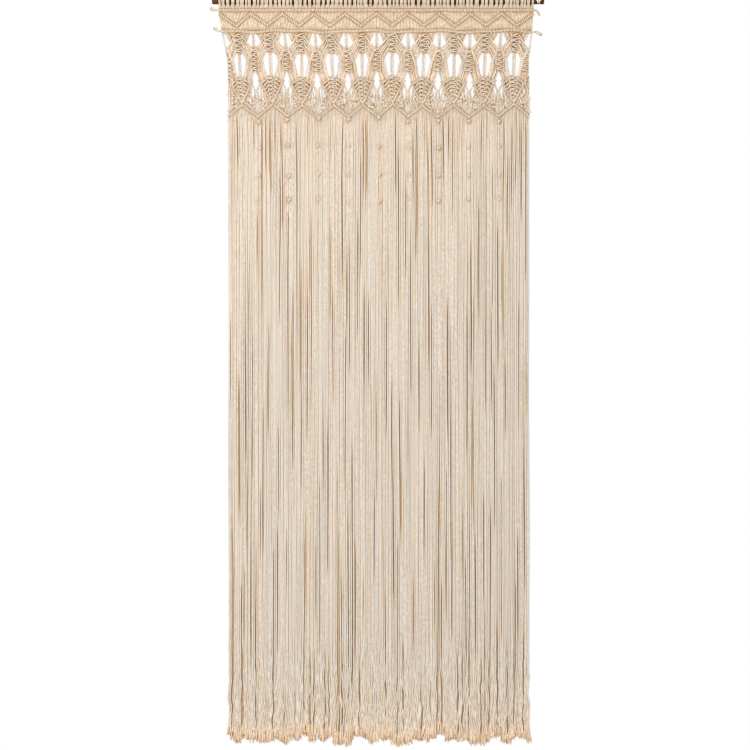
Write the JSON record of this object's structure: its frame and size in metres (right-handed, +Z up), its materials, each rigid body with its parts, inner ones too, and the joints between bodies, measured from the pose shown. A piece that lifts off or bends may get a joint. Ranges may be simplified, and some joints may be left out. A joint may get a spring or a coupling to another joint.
{
  "type": "macrame door curtain on a wooden rod",
  "caption": "Knotted cotton door curtain: looped heading, zigzag band, openwork leaf net and long hanging strings with frayed ends, on a plain wooden rod.",
  "frame": {"origin": "middle of the rod's axis", "axes": "+X along the rod to the viewer's right, -Y out of the front face, +Z up"},
  "size_m": [0.8865, 0.0382, 2],
  "materials": {
    "cotton_cord": "undyed cotton cord, matt, softly twisted, with frayed ends",
    "rod_wood": "dark stained wood, satin, with a fine straight grain"
  },
  "bodies": {
    "root": {"rod": "rod_wood", "stopper_knot": "cotton_cord", "loop_row": "cotton_cord", "holding_cord_top": "cotton_cord", "zigzag_band": "cotton_cord", "holding_cord_lower": "cotton_cord", "leaf_net": "cotton_cord", "zigzag_border": "cotton_cord", "string_comb": "cotton_cord"}
  },
  "joints": []
}
